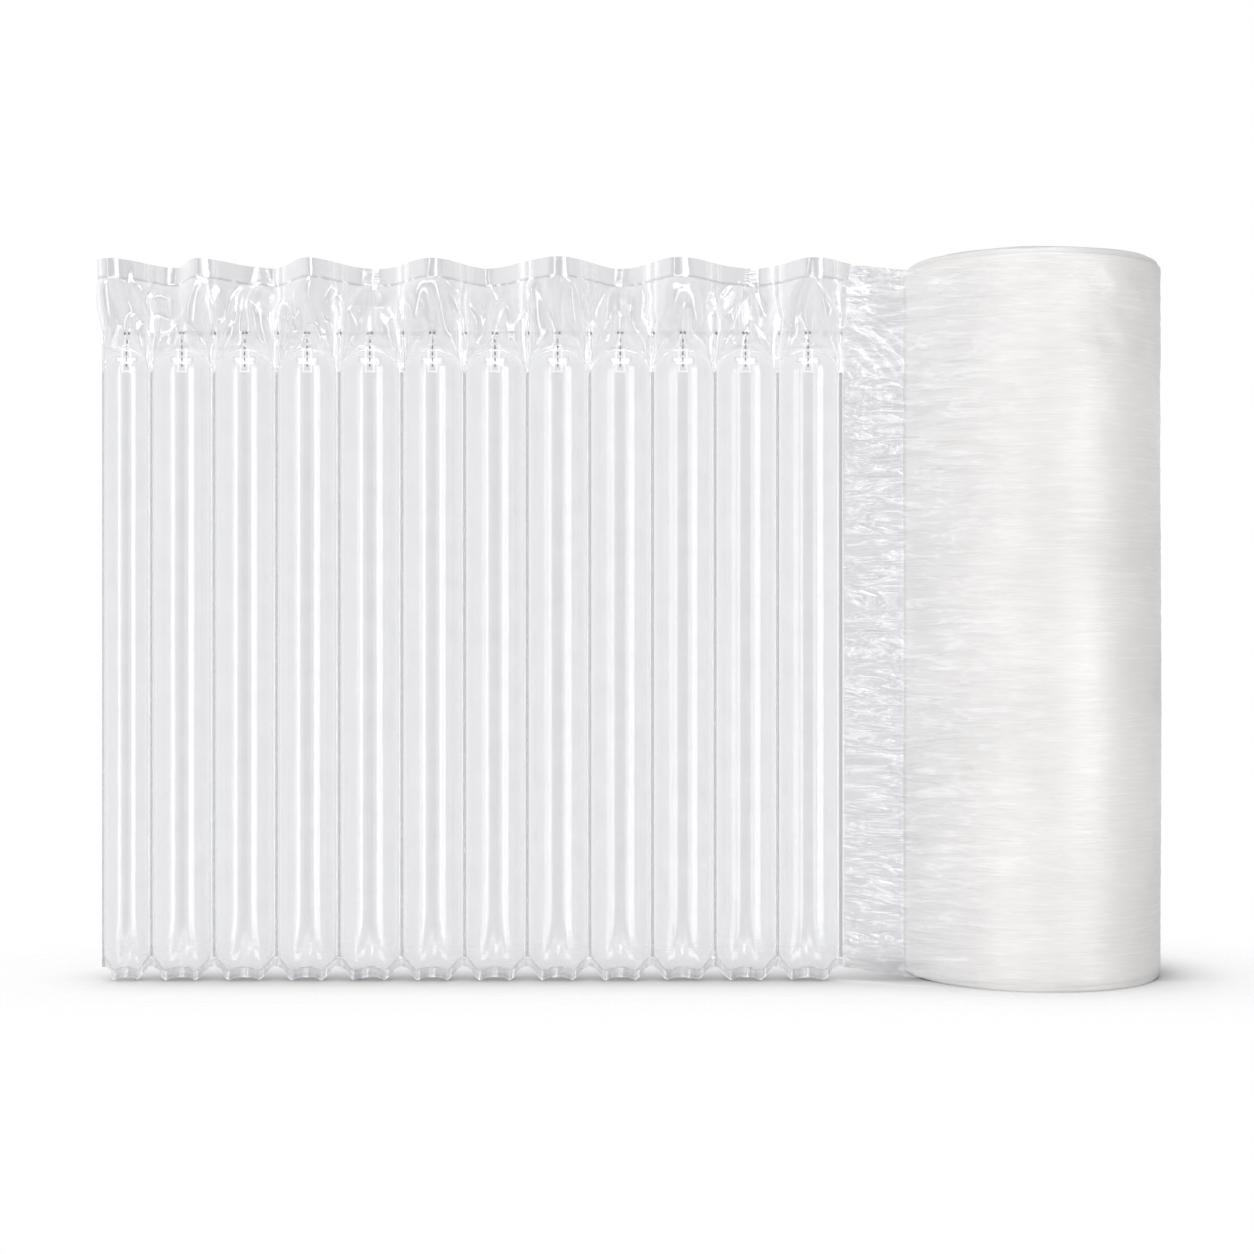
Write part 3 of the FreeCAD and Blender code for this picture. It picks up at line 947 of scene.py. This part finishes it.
def mixed(tree, share, first, second):
    """Output socket of a mix of two values."""
    return place(tree, "ShaderNodeMix", {0: share, 2: first, 3: second}).outputs[0]


def film_material():
    material, tree, surface = finish("clear_film", IOR=1.6, Coat_Roughness=0.04)
    flat = stored(tree, "flat_place", "Vector")
    weld, seam, milky, present, creased = (stored(tree, layer) for layer in FILM_LAYERS)
    spot, _ = spot_on_piece(tree)
    # the grain of the film, its wrinkles, and where the film is neither header nor column
    long_lines = place(tree, "ShaderNodeMapping", {0: flat, "Scale": (900.0, 6.0, 1.0)}).outputs[0]
    lines = grain(tree, long_lines, 1.0, 2.0)
    clouds = grain(tree, flat, 60.0, 2.0)
    fine = wrinkled(tree, spot, 14.0, 230.0)
    wide = wrinkled(tree, spot, 30.0, 170.0)
    beyond = times(tree, between(tree, creased, 1.0, 0.0, 0.6, 0.75),
                   between(tree, creased, 0.0, 1.0, 0.45, 0.6))
    # painted highlight on the ridges of the wide wrinkles and painted shade in their hollows, on the flat
    # film and where it lies on the roll
    ridges = between(tree, wide, 0.0, 1.0, 0.84, 0.98)
    hollows = between(tree, wide, 1.0, 0.0, 0.3, 0.7)
    painted_ridge_glint = times(tree, ridges, most(tree, times(tree, beyond, 0.45), milky))
    painted_hollow_shade = times(tree, hollows, times(tree, beyond, 0.5))
    # how dark it looks: most where it faces the eye, a painted reflection of the dark room; where it turns
    # away from it, painted shade; or where it lies double
    facing = place(tree, "ShaderNodeLayerWeight", {"Blend": 0.5}).outputs["Facing"]
    # painted reflection of the dark room, where the film faces the eye and more on the header's facets that
    # do
    ahead = most(tree, between(tree, facing, 0.28, 0.0, 0.0, 0.09),
                 times(tree, between(tree, facing, 0.6, 0.0, 0.02, 0.3), creased))
    # painted shade where the film turns away from the eye
    edge = sums(tree, "POWER", facing, 3.0)
    streaky = between(tree, sums(tree, "MULTIPLY_ADD", lines, 0.5, clouds), 0.0, 0.3, 0.4, 1.1)
    tone = most(tree, times(tree, seam, 0.9), times(tree, edge, 0.45),
                sums(tree, "MULTIPLY_ADD", streaky, 0.6, ahead), painted_hollow_shade)
    colour = blend_colour(tree, milky, blend_colour(tree, tone, FILM_TINT, FILM_SHADE), FILM_MILKY)
    # white welds, and the painted glints and ridge highlights, mixed in the same white
    colour = blend_colour(tree, most(tree, weld, painted_ridge_glint), colour, WELD_AND_GLINT_WHITE)
    alpha = most(tree, sums(tree, "MULTIPLY_ADD", tone, FILM_SHADED, FILM_BODY), times(tree, weld, 0.9))
    alpha = mixed(tree, milky, alpha, VEIL)
    # light passes on to what lies behind, but less of it to the floor at the foot
    direct = place(tree, "ShaderNodeLightPath").outputs["Is Camera Ray"]
    up = place(tree, "ShaderNodeSeparateXYZ", {0: flat}).outputs["Y"]
    low_down = times(tree, between(tree, up, 1.0, 0.0, *FOOT_SHADE), sums(tree, "SUBTRACT", 1.0, milky))
    passing = mixed(tree, direct, between(tree, low_down, LIGHT_STOPPED, 1.0), 1.0)
    alpha = times(tree, times(tree, alpha, present), passing)
    normal = relief(tree, fine, between(tree, milky, 0.12, 0.3), 0.001)
    normal = relief(tree, wide, times(tree, beyond, 0.9), 0.0018, over=normal)
    normal = relief(tree, lines, 0.1, 0.0002, over=normal)
    glossless = sums(tree, "SUBTRACT", milky, times(tree, creased, 0.6))
    feed(tree, surface, Base_Color=colour, Alpha=alpha, Normal=normal,
         Roughness=between(tree, milky, 0.08, 0.3),
         Specular_IOR_Level=between(tree, glossless, 1.1, 0.2, -0.6, 1.0),
         Coat_Weight=between(tree, milky, 0.5, 0.0))
    return material


film = film_material()
front_film = film_piece("front_outer_film", front_points, film)
back_film = film_piece("back_outer_film", back_points, film, skip=WRAP_STEPS)
for piece, node, length in ((front_film, "front_film", film_length),
                            (back_film, "back_film", film_length - roll_radius * WRAP_TURN)):
    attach(piece, "root")
    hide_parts(node)


# ---------------------------------------------------------------- valve films
# Two thin webs between the outer films, a front one and a back one. They make a strip along the
# neck line and a cross-shaped duct into every column, sealed to each other along white lines, with
# dark heat-proof ink that keeps the duct and the neck from welding shut.

VALVE_GAP = 0.00004           # half of the space between the two valve films
TONGUE_HALF = 0.0028          # half widths of the cross
CROSSBAR_HALF = 0.0067
CROSSBAR_SPAN = (0.34195, 0.34525)
DUCT_FOOT = 0.3363
STRIP_FOOT = 0.3497
STRIP_TOP = 0.3603
ROWS_BETWEEN = (0.3382, 0.3400, 0.3436, 0.3467, 0.3482, 0.3514, 0.3531, 0.3548, 0.3575)
SEAL_HALF = 0.0005            # half width of a white sealing line, which runs just inside the edge
SEAL_INSET = 0.0006
INK_DASH = 0.0017             # length of the ink's dashes and of the spaces between them
INK_SPAN = (0.3396, 0.3560)   # heights between which the dashes run down the middle of a duct
DOT_OFF = 0.0015              # the neck's ink dots stand this far to each side of a spot weld
DOT_HALF = (0.0007, 0.0006)
SEAM_OFF = 0.0265             # from the middle of a column to the middle of a weld, laid flat
SOFT_EDGE = 0.0002
VALVE_BODY = 0.04             # how solid one valve film looks
SEAL_WHITE = (1.0, 1.0, 1.0, 1)
INK = (0.012, 0.012, 0.02, 1)
VALVE_TINT = (0.62, 0.62, 0.66, 1)


def between_films(along, up):
    """Point half-way between the two outer films at a place of the flat film."""
    i = int(np.clip(np.searchsorted(lead.flat_along, along) - 1, 0, len(lead.flat_along) - 2))
    share = (along - lead.flat_along[i]) / (lead.flat_along[i + 1] - lead.flat_along[i])
    ends = []
    for k in (i, i + 1):
        middle = (front_points[k] + back_points[k]) / 2
        ends.append([np.interp(up, lead.flat_up[k], middle[:, axis]) for axis in range(3)])
    return np.array(ends[0]) * (1 - share) + np.array(ends[1]) * share


def duct_places():
    """Distances along the flat film of the middles of the ducts."""
    first = np.nonzero((lead.kind == "column") & (lead.share == 0))[0]
    return [lead.flat_along[i] + math.pi * lead.radius[i] / 2 for i in first]


def in_the_valve(off, up):
    """Whether a place this far off the middle of a duct is on the strip or on a tongue."""
    if up > STRIP_FOOT:
        return True
    in_bar = CROSSBAR_SPAN[0] < up < CROSSBAR_SPAN[1] and abs(off) < CROSSBAR_HALF
    return in_bar or (up > DUCT_FOOT and abs(off) < TONGUE_HALF)


strip_start = lead.flat_along[lead.kind == "weld"][0]


def valve_piece(name, side, material):
    """One valve film: a strip with a cross-shaped tongue in every column."""
    ducts = duct_places()
    offsets = (-CROSSBAR_HALF, -TONGUE_HALF, 0.0, TONGUE_HALF, CROSSBAR_HALF)
    across = sorted({round(d + o, 7) for d in ducts for o in offsets})
    fill = [a for a in lead.flat_along if a >= strip_start and min(abs(a - b) for b in across) > 0.0006]
    across = sorted(across + fill)
    heights = sorted((DUCT_FOOT, *CROSSBAR_SPAN, STRIP_FOOT, NECK_LINE, STRIP_TOP, *ROWS_BETWEEN))
    bm = bmesh.new()
    bmesh.ops.create_grid(bm, x_segments=len(across) - 1, y_segments=len(heights) - 1, size=1)
    flat_place = bm.verts.layers.float_vector.new("flat_place")
    flat_map = bm.loops.layers.uv.new("film")
    where = {}
    for vert in bm.verts:
        u = across[round((vert.co.x + 1) / 2 * (len(across) - 1))]
        v = heights[round((vert.co.y + 1) / 2 * (len(heights) - 1))]
        where[vert] = (u, v)
        off = min((u - d for d in ducts), key=abs)
        vert[flat_place] = (abs(off), v, 0)
    outside = []
    for face in bm.faces:
        u = sum(where[v][0] for v in face.verts) / 4
        v = sum(where[v][1] for v in face.verts) / 4
        if not in_the_valve(min((u - d for d in ducts), key=abs), v):
            outside.append(face)
        for loop in face.loops:
            loop[flat_map].uv = (where[loop.vert][0] / film_length, where[loop.vert][1] / roll_height)
    for vert, (u, v) in where.items():
        x, y, z = between_films(u, v)
        vert.co = (x, y - side * VALVE_GAP, z)
    bmesh.ops.delete(bm, geom=outside, context="FACES")
    return piece_from(name, bm, material)


def stripe(tree, value, middle, half, soft):
    """1 where value is within half of middle, with soft edges."""
    return between(tree, apart(tree, value, middle), 1.0, 0.0, half, half + soft)


def valve_material():
    material, tree, surface = finish("valve_film", Roughness=0.25, IOR=1.5)
    axes = place(tree, "ShaderNodeSeparateXYZ", {0: stored(tree, "flat_place", "Vector")}).outputs
    off = sums(tree, "ABSOLUTE", axes["X"])
    up = axes["Y"]
    # white seals: both sides and the foot of the duct, and a line along the crossbar
    below = between(tree, up, 1.0, 0.0, STRIP_FOOT, STRIP_FOOT + SOFT_EDGE)
    sides = times(tree, stripe(tree, off, TONGUE_HALF - SEAL_INSET, SEAL_HALF, 0.0001), below)
    toe = times(tree, stripe(tree, up, DUCT_FOOT + SEAL_INSET, SEAL_HALF, 0.0001),
                between(tree, off, 1.0, 0.0, TONGUE_HALF, TONGUE_HALF + SOFT_EDGE))
    bar = times(tree, stripe(tree, up, sum(CROSSBAR_SPAN) / 2, 0.0007, 0.0007),
                between(tree, off, 1.0, 0.0, CROSSBAR_HALF - 0.0018, CROSSBAR_HALF))
    seal = most(tree, sides, toe, bar)
    # ink: a dashed line down each duct, and two dots at every spot weld of the neck
    dash = between(tree, sums(tree, "PINGPONG", up, INK_DASH), 1.0, 0.0, 0.0009, 0.0011)
    middle = times(tree, between(tree, off, 1.0, 0.0, 0.0003, 0.0005), dash)
    low, high = INK_SPAN
    middle = times(tree, middle, stripe(tree, up, (low + high) / 2, (high - low) / 2, SOFT_EDGE))
    dots = most(tree, *(stripe(tree, beside, DOT_OFF, DOT_HALF[0], SOFT_EDGE)
                        for beside in (off, apart(tree, off, SEAM_OFF))))
    dots = times(tree, dots, stripe(tree, up, NECK_LINE, DOT_HALF[1], SOFT_EDGE))
    ink = most(tree, middle, dots)
    alpha = most(tree, sums(tree, "MULTIPLY_ADD", seal, 0.95, VALVE_BODY), times(tree, ink, 0.95))
    colour = blend_colour(tree, ink, blend_colour(tree, seal, VALVE_TINT, SEAL_WHITE), INK)
    feed(tree, surface, Base_Color=colour, Alpha=alpha)
    return material


valve = valve_material()
tongue = 2 * TONGUE_HALF * (STRIP_FOOT - DUCT_FOOT)
tongue += 2 * (CROSSBAR_HALF - TONGUE_HALF) * (CROSSBAR_SPAN[1] - CROSSBAR_SPAN[0])
for name, node, side in (("front_valve_web", "front_valve_film", 1),
                         ("back_valve_web", "back_valve_film", -1)):
    piece = valve_piece(name, side, valve)
    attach(piece, "root")
    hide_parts(node)


# ---------------------------------------------------------------- floor, light and camera
# A plain white sweep that fades out round the object, with a painted contact shadow close to the foot,
# tall soft lamps that the columns mirror as upright streaks, and a level camera at half the roll's height.

FLOOR_REACH = 1.2
FLOOR_WHITE = (0.86, 0.86, 0.86, 1)
FLOOR_HALF = 0.27             # half length of the object's stand, round which the sweep fades out
FLOOR_FADE = (0.03, 0.2)      # distances from it where the fading starts and ends
# painted contact shadow: the sweep's colour is darkened close to the object, less in front of the lead
PAINTED_CONTACT_SHADOW = (0.30, 0.30, 0.31, 1)   # the sweep close to the foot, where little light gets in
PAINTED_SHADOW_REACH = 0.045
PAINTED_SHADOW_FRONT = (-0.036, -0.028)       # in front of the lead the front lamps reach under it
PAINTED_SHADOW_FRONT_SHARE = 0.45
CAMERA_PLACE = (-0.229, -1.2, 0.1955)
CAMERA_LENS = 60.7
LAMP_DISTANCE = 2.6
# name, degrees to the side and up, width, height, radiance and whether the film mirrors it
LAMPS = (
    ("left_strip", -28, 0, 0.5, 3.0, 4.0, True),
    ("right_softbox", 45, 0, 1.15, 3.0, 6.0, True),
    ("right_feather", 26, 0, 0.75, 3.0, 1.4, True),
    ("top_softbox", 4, 56, 2.6, 1.5, 8.0, True),
    ("front_fill", -12, 0, 1.2, 2.4, 0.9, False),
)
ROOM_MIRRORED = 0.25          # brightness of the room that the film mirrors in front
ROOM_LIGHT = 1.25             # brightness that lights the object
ROOM_LIGHT_RIGHT = 0.7        # and from the right


def floor_material():
    material, tree, surface = finish("white_sweep", Roughness=0.9, Specular_IOR_Level=0.1)
    _, axes = spot_on_piece(tree)
    # painted contact shadow: ambient occlusion darkens the sweep's colour near the object
    near = place(tree, "ShaderNodeAmbientOcclusion", {"Distance": PAINTED_SHADOW_REACH}, samples=4).outputs["AO"]
    shaded = blend_colour(tree, between(tree, near, 0.0, 1.0, 0.3, 0.95), PAINTED_CONTACT_SHADOW, FLOOR_WHITE)
    in_front = between(tree, axes["Y"], PAINTED_SHADOW_FRONT_SHARE, 0.0, *PAINTED_SHADOW_FRONT)
    past = most(tree, 0.0, sums(tree, "SUBTRACT", sums(tree, "ABSOLUTE", axes["X"]), FLOOR_HALF))
    far = sums(tree, "SQRT", sums(tree, "MULTIPLY_ADD", past, past, sums(tree, "POWER", axes["Y"], 2.0)))
    fade = between(tree, far, 1.0, 0.0, *FLOOR_FADE)
    feed(tree, surface, Base_Color=blend_colour(tree, in_front, shaded, FLOOR_WHITE),
         Alpha=sums(tree, "POWER", fade, 2.5))
    return material


middle_x = (cad_box[0].x + cad_box[1].x) / 2
bm = bmesh.new()
bmesh.ops.create_circle(bm, cap_ends=True, segments=96, radius=FLOOR_REACH)
floor = piece_from("white_sweep", bm, floor_material(), smooth=False)
floor.location.x = middle_x

world = bpy.data.worlds.new("studio")
bpy.context.scene.world = world
world.use_nodes = True
sky = world.node_tree
rays = place(sky, "ShaderNodeLightPath").outputs
way = place(sky, "ShaderNodeTexCoord").outputs["Generated"]
axes = place(sky, "ShaderNodeSeparateXYZ", {0: way}).outputs
mirrored = most(sky, between(sky, axes["Y"], ROOM_MIRRORED, 1.0, -0.5, 0.7),
                between(sky, axes["Z"], 1.1, 0.0, -0.6, 0.0))
lighting = between(sky, axes["X"], ROOM_LIGHT, ROOM_LIGHT_RIGHT, -0.1, 0.9)
around = mixed(sky, rays["Is Glossy Ray"], lighting, mirrored)
plain = most(sky, rays["Is Camera Ray"], rays["Is Transmission Ray"])
feed(sky, sky.nodes["Background"], Strength=mixed(sky, plain, around, 1.0))
sky.nodes["Background"].inputs["Color"].default_value = (1, 1, 1, 1)

for name, side, rise, width, height, radiance, in_mirror in LAMPS:
    lamp = bpy.data.lights.new(name, "AREA")
    lamp.shape = "RECTANGLE"
    lamp.size = width
    lamp.size_y = height
    lamp.energy = radiance * math.pi * width * height
    holder = bpy.data.objects.new(name, lamp)
    turn, lift = math.radians(side), math.radians(rise)
    reach = LAMP_DISTANCE * math.cos(lift)
    holder.location = (middle_x + reach * math.sin(turn), -reach * math.cos(turn),
                       roll_height / 2 + LAMP_DISTANCE * math.sin(lift))
    holder.rotation_euler = (math.pi / 2 - lift, 0, turn)
    holder.visible_glossy = in_mirror
    holder.visible_diffuse = not in_mirror
    bpy.context.scene.collection.objects.link(holder)

camera = bpy.data.objects.new("camera", bpy.data.cameras.new("camera"))
camera.location = CAMERA_PLACE
camera.rotation_euler = (math.pi / 2, 0, 0)
camera.data.lens = CAMERA_LENS
camera.data.sensor_width = 36
bpy.context.scene.collection.objects.link(camera)
bpy.context.scene.camera = camera
bpy.context.scene.view_settings.view_transform = "Standard"
